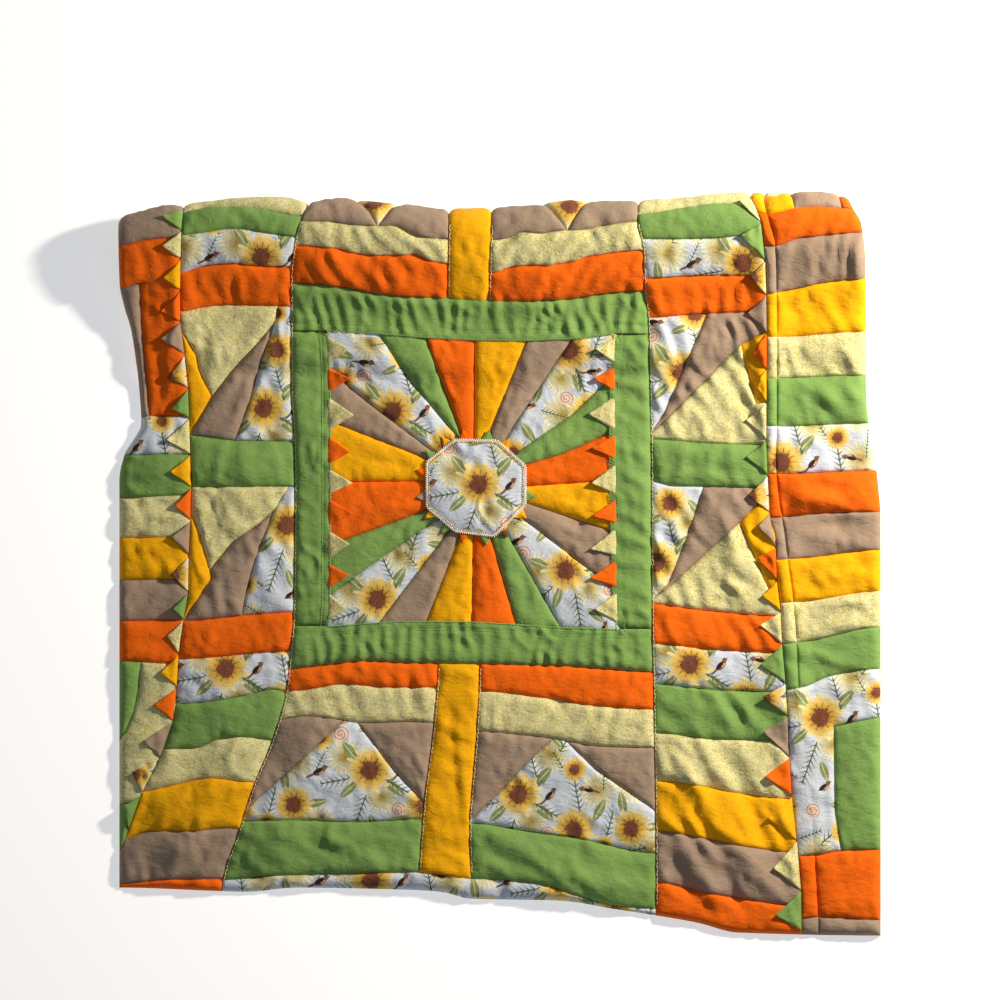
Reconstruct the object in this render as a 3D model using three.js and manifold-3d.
// A patchwork lap quilt, lying face up with its far end turned under itself in a soft roll.
// Millimetres, +X to the right, +Y to the far end, +Z up, the origin under the middle.
import * as THREE from 'three';
import { mergeVertices } from 'three/addons/utils/BufferGeometryUtils.js';
import Module from 'manifold-3d';

const wasm = await Module();
wasm.setup();

// Driving sizes of the cloth
const QUILT_THICKNESS = 7;
const PATCH_PUFF = 3.2;
const EDGE_THICKNESS = 4;
const EDGE_ROUNDING = 7;
const ROLL_RADIUS = 27;
const TURNED_UNDER = 150;
const UNDER_NARROWING = 0.05;
const NARROWING_LENGTH = 50;
const LAYER_GAP = 2.5;
const SETTLE_LENGTH = 120;
const LAYING_GAP = 0.35;
const PIECE_GAP = 0.6;
const FRAME_CLOTH = 1.8;
const POINT_CLOTH = 1.6;
const MEDALLION_CLOTH = 2.6;

// The quilt's seams were measured in a picture of 1000 by 1000 pixels, seen from above
const PIXEL_SIZE = 1.22;
const PICTURE_MIDDLE_X = 500;
const PICTURE_MIDDLE_Y = 565.5;
const toX = (px) => (px - PICTURE_MIDDLE_X) * PIXEL_SIZE;
const toY = (py) => (PICTURE_MIDDLE_Y - py) * PIXEL_SIZE;

// The outline: the far fold and the near hem from left to right, the two sides from far to near
const FAR_FOLD = [
  { x: 119, y: 218 }, { x: 181, y: 207 }, { x: 273, y: 200 }, { x: 316, y: 205 }, { x: 341, y: 202 },
  { x: 402, y: 208 }, { x: 447, y: 212 }, { x: 531, y: 209 }, { x: 576, y: 204 }, { x: 638, y: 204 },
  { x: 701, y: 199 }, { x: 747, y: 195 }, { x: 831, y: 195 }, { x: 860, y: 203 },
];
const NEAR_HEM = [
  { x: 119, y: 888 }, { x: 249, y: 892 }, { x: 294, y: 888 }, { x: 405, y: 890 }, { x: 440, y: 892 },
  { x: 471, y: 899 }, { x: 560, y: 901 }, { x: 612, y: 909 }, { x: 697, y: 923 }, { x: 738, y: 933 },
  { x: 881, y: 936 },
];
const LEFT_SIDE = [
  { y: 200, x: 119 }, { y: 285, x: 120 }, { y: 311, x: 125 }, { y: 330, x: 131 }, { y: 380, x: 138 },
  { y: 425, x: 141 }, { y: 437, x: 135 }, { y: 455, x: 124 }, { y: 480, x: 119 }, { y: 890, x: 119 },
];
const RIGHT_SIDE = [
  { y: 195, x: 850 }, { y: 222, x: 860 }, { y: 266, x: 865 }, { y: 404, x: 867 }, { y: 443, x: 873 },
  { y: 480, x: 878 }, { y: 520, x: 881 }, { y: 936, x: 881 },
];

// The long seams that run from the far fold to the near hem
const LEFT_BORDER_SEAM = [
  { y: 207, x: 184 }, { y: 312, x: 180 }, { y: 390, x: 188 }, { y: 487, x: 191 }, { y: 592, x: 188 },
  { y: 658, x: 178 }, { y: 704, x: 175 }, { y: 749, x: 163 }, { y: 792, x: 145 }, { y: 888, x: 131 },
];
const LEFT_FRAME_SEAM = [
  { y: 205, x: 309 }, { y: 245, x: 295 }, { y: 290, x: 291 }, { y: 390, x: 291 }, { y: 487, x: 295 },
  { y: 608, x: 293 }, { y: 692, x: 286 }, { y: 741, x: 272 }, { y: 828, x: 240 }, { y: 889, x: 222 },
];
const RIGHT_FRAME_SEAM = [
  { y: 204, x: 638 }, { y: 251, x: 643 }, { y: 318, x: 648 }, { y: 440, x: 651 }, { y: 645, x: 652 },
  { y: 780, x: 655 }, { y: 913, x: 656 },
];
const RIGHT_BORDER_SEAM = [
  { y: 195, x: 750 }, { y: 244, x: 762 }, { y: 276, x: 765 }, { y: 457, x: 766 }, { y: 518, x: 770 },
  { y: 604, x: 780 }, { y: 697, x: 786 }, { y: 785, x: 791 }, { y: 854, x: 799 }, { y: 933, x: 803 },
];
const RIGHT_FOLD_LINE = [
  { y: 195, x: 764 }, { y: 245, x: 775 }, { y: 328, x: 778 }, { y: 457, x: 778 }, { y: 527, x: 784 },
  { y: 596, x: 793 }, { y: 687, x: 799 }, { y: 736, x: 804 }, { y: 856, x: 815 }, { y: 935, x: 819 },
];

// Bands between the long seams: cells across, and each cross seam's height at the band's two sides
const BANDS = [
  { from: LEFT_SIDE, to: LEFT_BORDER_SEAM, cells: 3, seams: [
    { left: 246, right: 239 }, { left: 288, right: 284 }, { left: 352, right: 352 },
    { left: 417, right: 416 }, { left: 455, right: 454 }, { left: 498, right: 495 },
    { left: 537, right: 537 }, { left: 580, right: 579 }, { left: 620, right: 620 },
    { left: 661, right: 664 }, { left: 712, right: 706 }, { left: 760, right: 750 },
    { left: 803, right: 792 }, { left: 840, right: 839 } ] },
  { from: LEFT_BORDER_SEAM, to: LEFT_FRAME_SEAM, cells: 5, seams: [
    { left: 236, right: 238 }, { left: 273, right: 268 }, { left: 311, right: 306 },
    { left: 375, right: 374 }, { left: 435, right: 441 }, { left: 487, right: 486 },
    { left: 553, right: 548 }, { left: 621, right: 612 }, { left: 659, right: 652 },
    { left: 704, right: 692 }, { left: 749, right: 740 }, { left: 791, right: 783 },
    { left: 839, right: 829 }] },
  { from: LEFT_FRAME_SEAM, to: RIGHT_FRAME_SEAM, cells: 14, seams: [
    { left: 247, right: 251 }, { left: 284, right: 291 }, { left: 331, right: 334 },
    { left: 627, right: 629 }, { left: 669, right: 672 }, { left: 692, right: 709 },
    { left: 718, right: 748 }, { left: 821, right: 853 }] },
  { from: RIGHT_FRAME_SEAM, to: RIGHT_BORDER_SEAM, cells: 5, seams: [
    { left: 240, right: 236 }, { left: 278, right: 276 }, { left: 318, right: 312 },
    { left: 378, right: 378 }, { left: 439, right: 445 }, { left: 481, right: 488 },
    { left: 545, right: 552 }, { left: 604, right: 616 }, { left: 644, right: 654 },
    { left: 684, right: 692 }, { left: 733, right: 741 }, { left: 781, right: 798 },
    { left: 831, right: 852 }, { left: 882, right: 900 }] },
  { from: RIGHT_BORDER_SEAM, to: RIGHT_FOLD_LINE, cells: 1, seams: [] },
  { from: RIGHT_FOLD_LINE, to: RIGHT_SIDE, cells: 4, seams: [
    { left: 246, right: 234 }, { left: 292, right: 280 }, { left: 337, right: 332 },
    { left: 378, right: 375 }, { left: 427, right: 423 }, { left: 474, right: 470 },
    { left: 517, right: 512 }, { left: 559, right: 550 }, { left: 602, right: 591 },
    { left: 642, right: 627 }, { left: 688, right: 670 }, { left: 727, right: 717 },
    { left: 790, right: 785 }, { left: 854, right: 851 }] },
];

// The main folds: soft ridges and troughs on the quilt, with width and height in millimetres
const FOLDS = [
  { fromX: 262, fromY: 742, toX: 150, toY: 880, width: 26, height: 9 },
  { fromX: 330, fromY: 700, toX: 262, toY: 880, width: 30, height: 7 },
  { fromX: 665, fromY: 735, toX: 770, toY: 905, width: 22, height: 9 },
  { fromX: 668, fromY: 800, toX: 730, toY: 915, width: 20, height: 6 },
  { fromX: 771, fromY: 215, toX: 771, toY: 520, width: 15, height: 9 },
  { fromX: 778, fromY: 500, toX: 800, toY: 760, width: 16, height: 8 },
  { fromX: 785, fromY: 398, toX: 880, toY: 392, width: 20, height: 8 },
  { fromX: 782, fromY: 494, toX: 880, toY: 488, width: 24, height: 9 },
  { fromX: 120, fromY: 470, toX: 290, toY: 464, width: 22, height: 7 },
  { fromX: 645, fromY: 466, toX: 765, toY: 462, width: 24, height: 7 },
  { fromX: 300, fromY: 262, toX: 440, toY: 300, width: 22, height: 6 },
  { fromX: 640, fromY: 262, toX: 500, toY: 300, width: 22, height: 6 },
  { fromX: 340, fromY: 860, toX: 480, toY: 880, width: 22, height: 6 },
  { fromX: 500, fromY: 870, toX: 650, toY: 890, width: 24, height: 7 },
  { fromX: 175, fromY: 260, toX: 181, toY: 420, width: 18, height: 6 },
];

// The frame: its inner and outer corners from the far left, clockwise
const FRAME_OUTER_FAR = { leftY: 285, rightY: 293 };
const FRAME_OUTER_NEAR = { leftY: 668, rightY: 672 };
const FRAME_INNER = {
  farLeft: { x: 328, y: 331 }, farRight: { x: 614, y: 334 },
  nearRight: { x: 617, y: 629 }, nearLeft: { x: 329, y: 626 },
};

// The medallion in the middle and its ring of small folded points
const MEDALLION = { x: 476, y: 487, acrossFlats: 97, points: 16, ringRadius: 64, ringBase: 42 };

// Folded points: the two ends of each sewn edge and the tip
const INNER_LEFT_POINTS = [
  { farY: 335, tipX: 349, tipY: 349, nearY: 364 }, { farY: 365, tipX: 351, tipY: 378, nearY: 394 },
  { farY: 395, tipX: 354, tipY: 415, nearY: 433 }, { farY: 434, tipX: 350, tipY: 452, nearY: 466 },
  { farY: 467, tipX: 353, tipY: 483, nearY: 496 }, { farY: 497, tipX: 353, tipY: 513, nearY: 528 },
  { farY: 529, tipX: 350, tipY: 544, nearY: 561 }, { farY: 562, tipX: 349, tipY: 575, nearY: 590 },
  { farY: 591, tipX: 347, tipY: 609, nearY: 622 },
];
const INNER_RIGHT_POINTS = [
  { farY: 337, tipX: 595, tipY: 349, nearY: 363 }, { farY: 364, tipX: 592, tipY: 378, nearY: 393 },
  { farY: 394, tipX: 588, tipY: 414, nearY: 432 }, { farY: 433, tipX: 591, tipY: 448, nearY: 461 },
  { farY: 462, tipX: 591, tipY: 483, nearY: 496 }, { farY: 497, tipX: 592, tipY: 516, nearY: 525 },
  { farY: 526, tipX: 590, tipY: 549, nearY: 557 }, { farY: 558, tipX: 590, tipY: 578, nearY: 589 },
  { farY: 590, tipX: 594, tipY: 609, nearY: 624 },
];
const OUTER_LEFT_POINTS = [
  { farY: 212, tipX: 163, tipY: 221, nearY: 231 }, { farY: 232, tipX: 163, tipY: 245, nearY: 258 },
  { farY: 259, tipX: 164, tipY: 275, nearY: 288 }, { farY: 290, tipX: 161, tipY: 309, nearY: 321 },
  { farY: 322, tipX: 161, tipY: 339, nearY: 354 }, { farY: 355, tipX: 167, tipY: 375, nearY: 388 },
  { farY: 389, tipX: 171, tipY: 409, nearY: 418 }, { farY: 419, tipX: 166, tipY: 440, nearY: 454 },
  { farY: 455, tipX: 170, tipY: 472, nearY: 487 }, { farY: 488, tipX: 175, tipY: 506, nearY: 520 },
  { farY: 521, tipX: 172, tipY: 537, nearY: 555 }, { farY: 557, tipX: 171, tipY: 575, nearY: 592 },
  { farY: 593, tipX: 173, tipY: 609, nearY: 620 }, { farY: 621, tipX: 167, tipY: 636, nearY: 654 },
  { farY: 655, tipX: 160, tipY: 673, nearY: 687 }, { farY: 688, tipX: 154, tipY: 705, nearY: 721 },
  { farY: 722, tipX: 143, tipY: 741, nearY: 758 }, { farY: 760, tipX: 132, tipY: 772, nearY: 793 },
];
const OUTER_RIGHT_POINTS = [
  { farY: 224, tipX: 740, tipY: 234, nearY: 259 }, { farY: 260, tipX: 749, tipY: 274, nearY: 293 },
  { farY: 294, tipX: 747, tipY: 313, nearY: 333 }, { farY: 334, tipX: 752, tipY: 351, nearY: 368 },
  { farY: 369, tipX: 754, tipY: 384, nearY: 402 }, { farY: 403, tipX: 746, tipY: 420, nearY: 440 },
  { farY: 441, tipX: 746, tipY: 457, nearY: 475 }, { farY: 476, tipX: 748, tipY: 496, nearY: 512 },
  { farY: 513, tipX: 758, tipY: 526, nearY: 547 }, { farY: 548, tipX: 757, tipY: 558, nearY: 580 },
  { farY: 581, tipX: 762, tipY: 596, nearY: 611 }, { farY: 612, tipX: 760, tipY: 625, nearY: 644 },
  { farY: 645, tipX: 760, tipY: 665, nearY: 683 }, { farY: 684, tipX: 762, tipY: 697, nearY: 716 },
  { farY: 717, tipX: 763, tipY: 732, nearY: 757 }, { farY: 758, tipX: 765, tipY: 776, nearY: 796 },
  { farY: 797, tipX: 767, tipY: 818, nearY: 841 }, { farY: 842, tipX: 773, tipY: 868, nearY: 891 },
];

// Cloth colours
const CLOTH = {
  quilt: 0xe9e2cf, green: 0x6aa04a, medallion: 0xe4e2dc,
  pale: 0xe0d793, orange: 0xf06a12, mustard: 0xf2ac10, tan: 0xa28468, floral: 0xdfe0e2,
};
const INNER_POINT_CLOTHS = ['pale', 'orange'];
const OUTER_LEFT_CLOTHS = ['green', 'pale', 'mustard', 'orange', 'tan', 'floral'];
const OUTER_RIGHT_CLOTHS = ['green', 'floral', 'tan', 'orange', 'mustard', 'pale'];

// A smooth value between the rows of a table, by cubic pieces with level-keeping slopes
function along(rows, key, at, value) {
  const last = rows.length - 1;
  if (at <= rows[0][key]) return rows[0][value];
  if (at >= rows[last][key]) return rows[last][value];
  const slope = (i) => (rows[i + 1][value] - rows[i][value]) / (rows[i + 1][key] - rows[i][key]);
  const tangent = (i) => {
    if (i === 0 || i === last) return 0;
    const before = slope(i - 1);
    const after = slope(i);
    return before * after > 0 ? (2 * before * after) / (before + after) : 0;
  };
  let i = 0;
  while (at > rows[i + 1][key]) i += 1;
  const span = rows[i + 1][key] - rows[i][key];
  const t = (at - rows[i][key]) / span;
  const rise = rows[i + 1][value] - rows[i][value];
  const bend = (1 - t) * tangent(i) * span - t * tangent(i + 1) * span + (2 * t - 1) * rise;
  return rows[i][value] + rise * t + t * (1 - t) * bend;
}
const seamX = (seam, py) => along(seam, 'y', py, 'x');
const farY = (px) => along(FAR_FOLD, 'x', px, 'y');
const nearY = (px) => along(NEAR_HEM, 'x', px, 'y');
const smooth = (t) => {
  const c = Math.min(1, Math.max(0, t));
  return c * c * (3 - 2 * c);
};

// Height of the quilt's upper face over the floor, at a distance in plan from the far fold
const UNDER_END = ROLL_RADIUS + TURNED_UNDER;
const STACKED_HEIGHT = 2 * QUILT_THICKNESS + LAYER_GAP;
function upperHeight(distance) {
  if (distance < ROLL_RADIUS) {
    const inward = ROLL_RADIUS - distance;
    return ROLL_RADIUS + Math.sqrt(ROLL_RADIUS ** 2 - inward ** 2);
  }
  const roll = 2 * ROLL_RADIUS - STACKED_HEIGHT;
  const settled = 1 - smooth((distance - ROLL_RADIUS) / SETTLE_LENGTH);
  const step = 1 - smooth((distance - UNDER_END - LAYER_GAP) / (5 * QUILT_THICKNESS));
  return QUILT_THICKNESS + roll * settled + (STACKED_HEIGHT - QUILT_THICKNESS) * step;
}

// A point of the quilt's cross section: distance in plan from the fold, height, and outward normal
function sectionOnTop(distance) {
  const reach = 0.5;
  if (distance < ROLL_RADIUS) {
    const angle = Math.acos((ROLL_RADIUS - distance) / ROLL_RADIUS);
    return sectionOnRoll(angle);
  }
  const slope = (upperHeight(distance + reach) - upperHeight(Math.max(ROLL_RADIUS, distance - reach)))
    / (distance + reach - Math.max(ROLL_RADIUS, distance - reach));
  const length = Math.hypot(1, slope);
  return { distance, height: upperHeight(distance), outDistance: -slope / length, outHeight: 1 / length };
}
// The roll's angle is 90 degrees on top, 0 at the fold and -90 where the cloth meets the floor
function sectionOnRoll(angle) {
  return {
    distance: ROLL_RADIUS * (1 - Math.cos(angle)),
    height: ROLL_RADIUS * (1 + Math.sin(angle)),
    outDistance: -Math.cos(angle),
    outHeight: Math.sin(angle),
  };
}

// Soft relief above the plain thickness
function foldRelief(px, py) {
  let relief = 0;
  for (const fold of FOLDS) {
    const runX = fold.toX - fold.fromX;
    const runY = fold.toY - fold.fromY;
    const part = ((px - fold.fromX) * runX + (py - fold.fromY) * runY) / (runX ** 2 + runY ** 2);
    const on = Math.min(1, Math.max(0, part));
    const away = Math.hypot(px - fold.fromX - on * runX, py - fold.fromY - on * runY) * PIXEL_SIZE;
    relief += fold.height * Math.exp(-((away / fold.width) ** 2)) * smooth(4 * on) * smooth(4 - 4 * on);
  }
  return relief;
}
// Low crowns of the wedges that fan out from the medallion, inside the frame
const WEDGES = 20;
const FAN_REACH = 150;
function fanRelief(px, py) {
  const radius = Math.hypot(px - MEDALLION.x, py - MEDALLION.y);
  const inside = px > FRAME_INNER.nearLeft.x && px < FRAME_INNER.nearRight.x
    && py > FRAME_INNER.farLeft.y && py < FRAME_INNER.nearRight.y;
  if (!inside) return 0;
  const turn = Math.atan2(py - MEDALLION.y, px - MEDALLION.x) / (2 * Math.PI);
  return PATCH_PUFF * 0.7 * Math.abs(Math.sin(Math.PI * WEDGES * turn)) * smooth(radius / FAN_REACH);
}

// The rows of a column, from the far fold to the near hem, drawn to the cross seams of its band
const ROWS = 64;
const ROLL_STEPS = 5;
const ROLL_PIXELS = ROLL_RADIUS / PIXEL_SIZE;
function columnRows(band, t, fold, hem) {
  const first = fold + ROLL_PIXELS;
  const last = hem - EDGE_ROUNDING / PIXEL_SIZE;
  const step = (last - first) / ROWS;
  const anchors = [{ row: 0, y: first }];
  for (const seam of band.seams) {
    const y = seam.left + (seam.right - seam.left) * t;
    const row = Math.round(((seam.left + seam.right) / 2 - first) / step);
    const before = anchors[anchors.length - 1];
    if (row > before.row + 1 && row < ROWS - 1 && y > before.y + step && y < last - step) anchors.push({ row, y });
  }
  anchors.push({ row: ROWS, y: last });
  const rows = [];
  for (let i = 0; i + 1 < anchors.length; i += 1) {
    const count = anchors[i + 1].row - anchors[i].row;
    for (let k = 0; k < count; k += 1) {
      const part = k / count;
      rows.push({ y: anchors[i].y + (anchors[i + 1].y - anchors[i].y) * part, part });
    }
  }
  rows.push({ y: last, part: 0 });
  return rows;
}

// Columns across the quilt: each band's cells, and a rounding column just inside each side
function columnPlaces() {
  const places = [{ band: BANDS[0], t: 0, edge: true }, { band: BANDS[0], t: 0.12 }];
  BANDS.forEach((band, index) => {
    for (let cell = index === 0 ? 1 : 0; cell < band.cells; cell += 1) places.push({ band, t: cell / band.cells });
  });
  const outer = BANDS[BANDS.length - 1];
  places.push({ band: outer, t: 0.93 });
  places.push({ band: outer, t: 1, edge: true });
  return places;
}
const COLUMNS = columnPlaces();

// One column of the quilt's upper face as plan points with their relief
function columnPoints({ band, t, edge }) {
  const xAt = (py) => {
    const from = seamX(band.from, py);
    return from + (seamX(band.to, py) - from) * t;
  };
  let fold = 205;
  for (let pass = 0; pass < 3; pass += 1) fold = farY(xAt(fold));
  let hem = 900;
  for (let pass = 0; pass < 3; pass += 1) hem = nearY(xAt(hem));
  const across = edge ? 0 : Math.sqrt(Math.abs(Math.sin(Math.PI * t)));
  const roll = [];
  for (let step = -ROLL_STEPS; step < ROLL_STEPS; step += 1) {
    const angle = (step / ROLL_STEPS) * (Math.PI / 2);
    roll.push({ px: xAt(fold), angle, relief: 0 });
  }
  const flat = columnRows(band, t, fold, hem).map(({ y, part }) => {
    const px = xAt(y);
    const puff = PATCH_PUFF * across * Math.sqrt(Math.sin(Math.PI * part));
    const relief = edge ? EDGE_THICKNESS - QUILT_THICKNESS : puff + foldRelief(px, y) + fanRelief(px, y);
    return { px, distance: (y - fold) * PIXEL_SIZE, relief };
  });
  flat.push({ px: xAt(hem), distance: (hem - fold) * PIXEL_SIZE, relief: EDGE_THICKNESS - QUILT_THICKNESS });
  return { fold, roll, flat, edge };
}
const COLUMN_POINTS = COLUMNS.map(columnPoints);

// A point in space from a plan point, lifted along the cloth's normal
function lifted(column, point, lift) {
  const section = point.angle === undefined ? sectionOnTop(point.distance) : sectionOnRoll(point.angle);
  const rise = lift + point.relief;
  return [
    toX(point.px),
    toY(column.fold) - section.distance - section.outDistance * rise,
    section.height + section.outHeight * rise,
  ];
}

// Triangles between two lines of points, in step with their own counts
function stitch(triangles, lineA, lineB, faceDown = false) {
  const add = (p, q, r) => triangles.push(faceDown ? [p, r, q] : [p, q, r]);
  let a = 0;
  let b = 0;
  while (a < lineA.length - 1 || b < lineB.length - 1) {
    const nextA = (a + 1) / (lineA.length - 1);
    const nextB = (b + 1) / (lineB.length - 1);
    if (b === lineB.length - 1 || (a < lineA.length - 1 && nextA <= nextB)) {
      add(lineA[a], lineA[a + 1], lineB[b]);
      a += 1;
    } else {
      add(lineA[a], lineB[b + 1], lineB[b]);
      b += 1;
    }
  }
}

// A solid between an upper and a lower set of lines that run from left to right, far end first
function solidBetween(upper, lower) {
  const triangles = [];
  for (let j = 0; j + 1 < upper.length; j += 1) stitch(triangles, upper[j + 1], upper[j]);
  for (let j = 0; j + 1 < lower.length; j += 1) stitch(triangles, lower[j + 1], lower[j], true);
  stitch(triangles, upper[0], lower[0]);
  stitch(triangles, lower[lower.length - 1], upper[upper.length - 1]);
  const side = (lines, index) => lines.map((line) => line.at(index));
  stitch(triangles, side(lower, 0), side(upper, 0));
  stitch(triangles, side(upper, -1), side(lower, -1));
  return triangles.flat(2);
}

function manifoldOf(positions) {
  const loose = new THREE.BufferGeometry();
  loose.setAttribute('position', new THREE.Float32BufferAttribute(positions, 3));
  return manifoldFrom(loose);
}
function manifoldFrom(geometry) {
  const bare = geometry.index ? geometry.toNonIndexed() : geometry;
  for (const name of ['normal', 'uv']) bare.deleteAttribute(name);
  const merged = mergeVertices(bare, 1e-3);
  return new wasm.Manifold(new wasm.Mesh({
    numProp: 3,
    vertProperties: new Float32Array(merged.attributes.position.array),
    triVerts: new Uint32Array(merged.index.array),
  }));
}
function geometryOf(manifold) {
  const mesh = manifold.getMesh();
  const geometry = new THREE.BufferGeometry();
  geometry.setAttribute('position', new THREE.BufferAttribute(new Float32Array(mesh.vertProperties), 3));
  geometry.setIndex(new THREE.BufferAttribute(new Uint32Array(mesh.triVerts), 1));
  geometry.computeVertexNormals();
  return geometry;
}

// The turned-under layer: rows along the floor, from its own hem back to the roll, drawn in at its sides
const UNDER_ROWS = 4;
function underPoints(column) {
  const rows = [];
  for (let k = 0; k < UNDER_ROWS; k += 1) {
    const distance = UNDER_END - (TURNED_UNDER * k) / UNDER_ROWS;
    const drawnIn = 1 - UNDER_NARROWING * smooth((distance - ROLL_RADIUS) / NARROWING_LENGTH);
    const px = PICTURE_MIDDLE_X + (column.roll[0].px - PICTURE_MIDDLE_X) * drawnIn;
    rows.push({ px, distance });
  }
  return rows;
}
const onFloor = (column, point, height) => [toX(point.px), toY(column.fold) - point.distance, height];

// The quilt: outer face from the hidden hem round the roll to the near hem, inner face back again
const LOWER_COLUMN_STEP = 4;
const LOWER_ROW_STEP = 6;
function quiltSolid() {
  const outer = [];
  const inner = [];
  for (let k = 0; k < UNDER_ROWS; k += 1) {
    outer.push(COLUMN_POINTS.map((column) => onFloor(column, underPoints(column)[k], 0)));
  }
  const rollRows = COLUMN_POINTS[0].roll.length;
  for (let k = 0; k < rollRows; k += 1) {
    outer.push(COLUMN_POINTS.map((column) => lifted(column, column.roll[k], 0)));
  }
  const flatRows = COLUMN_POINTS[0].flat.length;
  for (let k = 0; k < flatRows; k += 1) {
    outer.push(COLUMN_POINTS.map((column) => lifted(column, column.flat[k], 0)));
  }
  const few = COLUMN_POINTS.filter((column, index) => index % LOWER_COLUMN_STEP === 0
    || index === COLUMN_POINTS.length - 1);
  for (let k = 0; k < UNDER_ROWS; k += 1) {
    inner.push(few.map((column) => onFloor(column, underPoints(column)[k], QUILT_THICKNESS)));
  }
  for (let k = 0; k < rollRows; k += 1) {
    inner.push(few.map((column) => lifted(column, { ...column.roll[k], relief: 0 }, -QUILT_THICKNESS)));
  }
  for (let k = 0; k < flatRows; k += 1) {
    const near = few[0].flat[k].distance > UNDER_END + 6 * QUILT_THICKNESS;
    if (near && k % LOWER_ROW_STEP !== 0 && k !== flatRows - 1) continue;
    const last = k === flatRows - 1;
    const line = last ? COLUMN_POINTS : few;
    inner.push(line.map((column) => {
      const [x, y, z] = lifted(column, { ...column.flat[k], relief: 0 }, -QUILT_THICKNESS);
      return [x, y, Math.max(0, z)];
    }));
  }
  return manifoldOf(solidBetween(outer, inner));
}

// A thin layer of cloth lying on the quilt's upper face, to be cut to a piece's outline
function clothLayer(thickness) {
  const face = (lift) => {
    const lines = [];
    const rollRows = COLUMN_POINTS[0].roll.length;
    for (let k = ROLL_STEPS; k < rollRows; k += 1) {
      lines.push(COLUMN_POINTS.map((column) => lifted(column, column.roll[k], lift)));
    }
    for (let k = 0; k + 1 < COLUMN_POINTS[0].flat.length; k += 1) {
      lines.push(COLUMN_POINTS.map((column) => lifted(column, column.flat[k], lift)));
    }
    return lines;
  };
  return manifoldOf(solidBetween(face(LAYING_GAP + thickness), face(LAYING_GAP)));
}

// An upright prism over an outline in picture pixels, taller than the quilt
const PRISM_HEIGHT = 120;
function prismOver(corners) {
  const shape = new THREE.Shape(corners.map((corner) => new THREE.Vector2(toX(corner.x), toY(corner.y))));
  const prism = new THREE.ExtrudeGeometry(shape, { depth: PRISM_HEIGHT, bevelEnabled: false });
  return manifoldFrom(prism);
}

// Frame strips: the far and near ones run the full width, the side ones stand between them
const GAP_PIXELS = PIECE_GAP / PIXEL_SIZE;
function edgeLine(from, to, steps) {
  const line = [];
  for (let k = 0; k <= steps; k += 1) {
    const part = k / steps;
    line.push({ x: from.x + (to.x - from.x) * part, y: from.y + (to.y - from.y) * part });
  }
  return line;
}
function frameStrips() {
  const inner = FRAME_INNER;
  const seamPoint = (seam, y) => ({ x: seamX(seam, y), y });
  const outerFarLeft = seamPoint(LEFT_FRAME_SEAM, FRAME_OUTER_FAR.leftY);
  const outerFarRight = seamPoint(RIGHT_FRAME_SEAM, FRAME_OUTER_FAR.rightY);
  const outerNearRight = seamPoint(RIGHT_FRAME_SEAM, FRAME_OUTER_NEAR.rightY);
  const outerNearLeft = seamPoint(LEFT_FRAME_SEAM, FRAME_OUTER_NEAR.leftY);
  const farEndLeft = seamPoint(LEFT_FRAME_SEAM, inner.farLeft.y);
  const farEndRight = seamPoint(RIGHT_FRAME_SEAM, inner.farRight.y);
  const nearEndLeft = seamPoint(LEFT_FRAME_SEAM, inner.nearLeft.y);
  const nearEndRight = seamPoint(RIGHT_FRAME_SEAM, inner.nearRight.y);
  const drop = (corner, down) => ({ x: corner.x, y: corner.y + down });
  return [
    { name: 'frame_far', corners: [outerFarLeft, outerFarRight, farEndRight, inner.farRight,
      inner.farLeft, farEndLeft] },
    { name: 'frame_near', corners: [nearEndLeft, inner.nearLeft, inner.nearRight, nearEndRight,
      outerNearRight, outerNearLeft] },
    { name: 'frame_left', corners: [drop(farEndLeft, GAP_PIXELS), drop(inner.farLeft, GAP_PIXELS),
      drop(inner.nearLeft, -GAP_PIXELS), drop(nearEndLeft, -GAP_PIXELS)] },
    { name: 'frame_right', corners: [drop(inner.farRight, GAP_PIXELS), drop(farEndRight, GAP_PIXELS),
      drop(nearEndRight, -GAP_PIXELS), drop(inner.nearRight, -GAP_PIXELS)] },
  ];
}

// Folded points, sewn along one edge; the sewn edge lies on a side of the frame or on a long seam
const frameSide = (far, near) => (y) => far.x + ((near.x - far.x) * (y - far.y)) / (near.y - far.y);
const POINT_ROWS = [
  { name: 'inner_left_point', rows: INNER_LEFT_POINTS, cloths: INNER_POINT_CLOTHS, towards: 1,
    sewnX: frameSide(FRAME_INNER.farLeft, FRAME_INNER.nearLeft) },
  { name: 'inner_right_point', rows: INNER_RIGHT_POINTS, cloths: INNER_POINT_CLOTHS, towards: -1,
    sewnX: frameSide(FRAME_INNER.farRight, FRAME_INNER.nearRight) },
  { name: 'outer_left_point', rows: OUTER_LEFT_POINTS, cloths: OUTER_LEFT_CLOTHS, towards: -1,
    sewnX: (y) => seamX(LEFT_BORDER_SEAM, y) },
  { name: 'outer_right_point', rows: OUTER_RIGHT_POINTS, cloths: OUTER_RIGHT_CLOTHS, towards: -1,
    sewnX: (y) => seamX(RIGHT_BORDER_SEAM, y) },
];
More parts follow.
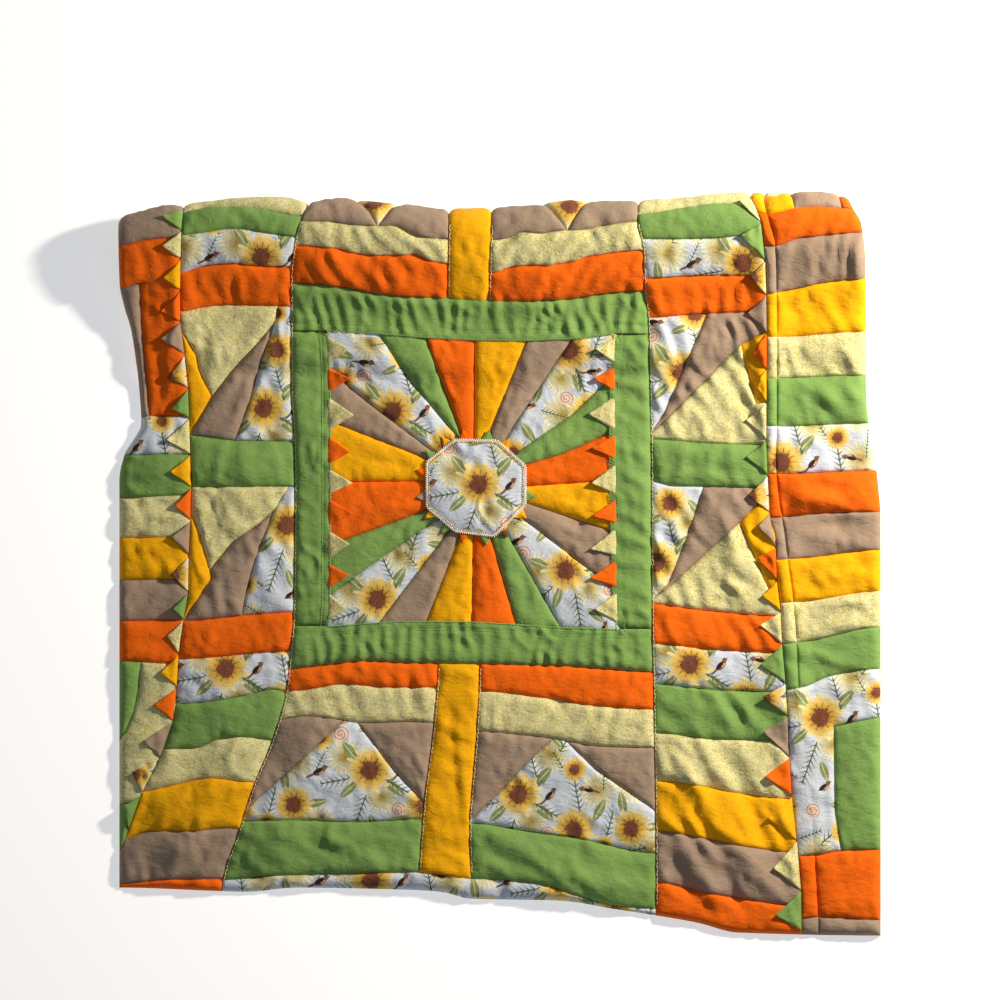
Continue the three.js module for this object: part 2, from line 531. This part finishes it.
function pointCorners(row, sewnX, towards) {
  const far = row.farY + GAP_PIXELS / 2;
  const near = row.nearY - GAP_PIXELS / 2;
  return [
    { x: sewnX(far) + towards * GAP_PIXELS, y: far },
    { x: row.tipX, y: row.tipY },
    { x: sewnX(near) + towards * GAP_PIXELS, y: near },
  ];
}

// The medallion's octagon and the ring of points under it
function medallionOctagon() {
  const radius = MEDALLION.acrossFlats / 2 / Math.cos(Math.PI / 8);
  const corners = [];
  for (let k = 0; k < 8; k += 1) {
    const angle = ((k + 0.5) * Math.PI) / 4;
    corners.push({ x: MEDALLION.x + radius * Math.cos(angle), y: MEDALLION.y + radius * Math.sin(angle) });
  }
  return corners;
}
function medallionRing() {
  const corners = [];
  for (let k = 0; k < MEDALLION.points * 2; k += 1) {
    const angle = (k * Math.PI) / MEDALLION.points;
    const radius = k % 2 === 0 ? MEDALLION.ringRadius : MEDALLION.ringBase;
    corners.push({ x: MEDALLION.x + radius * Math.cos(angle), y: MEDALLION.y + radius * Math.sin(angle) });
  }
  return corners;
}

function clothMaterial(color) {
  return new THREE.MeshStandardMaterial({ color, roughness: 0.9, metalness: 0 });
}
function addPiece(group, name, manifold, color) {
  const mesh = new THREE.Mesh(geometryOf(manifold), clothMaterial(color));
  mesh.name = name;
  group.add(mesh);
}

const quilt = new THREE.Group();
addPiece(quilt, 'quilt', quiltSolid(), CLOTH.quilt);

const frameLayer = clothLayer(FRAME_CLOTH);
for (const strip of frameStrips()) {
  addPiece(quilt, strip.name, frameLayer.intersect(prismOver(strip.corners)), CLOTH.green);
}

const pointLayer = clothLayer(POINT_CLOTH);
for (const { name, rows, cloths, towards, sewnX } of POINT_ROWS) {
  rows.forEach((row, index) => {
    const point = pointLayer.intersect(prismOver(pointCorners(row, sewnX, towards)));
    addPiece(quilt, `${name}_${index + 1}`, point, CLOTH[cloths[index % cloths.length]]);
  });
}

const ring = pointLayer.intersect(prismOver(medallionRing()));
const octagon = clothLayer(MEDALLION_CLOTH).intersect(prismOver(medallionOctagon()));
addPiece(quilt, 'medallion', octagon.add(ring), CLOTH.medallion);

export default quilt;
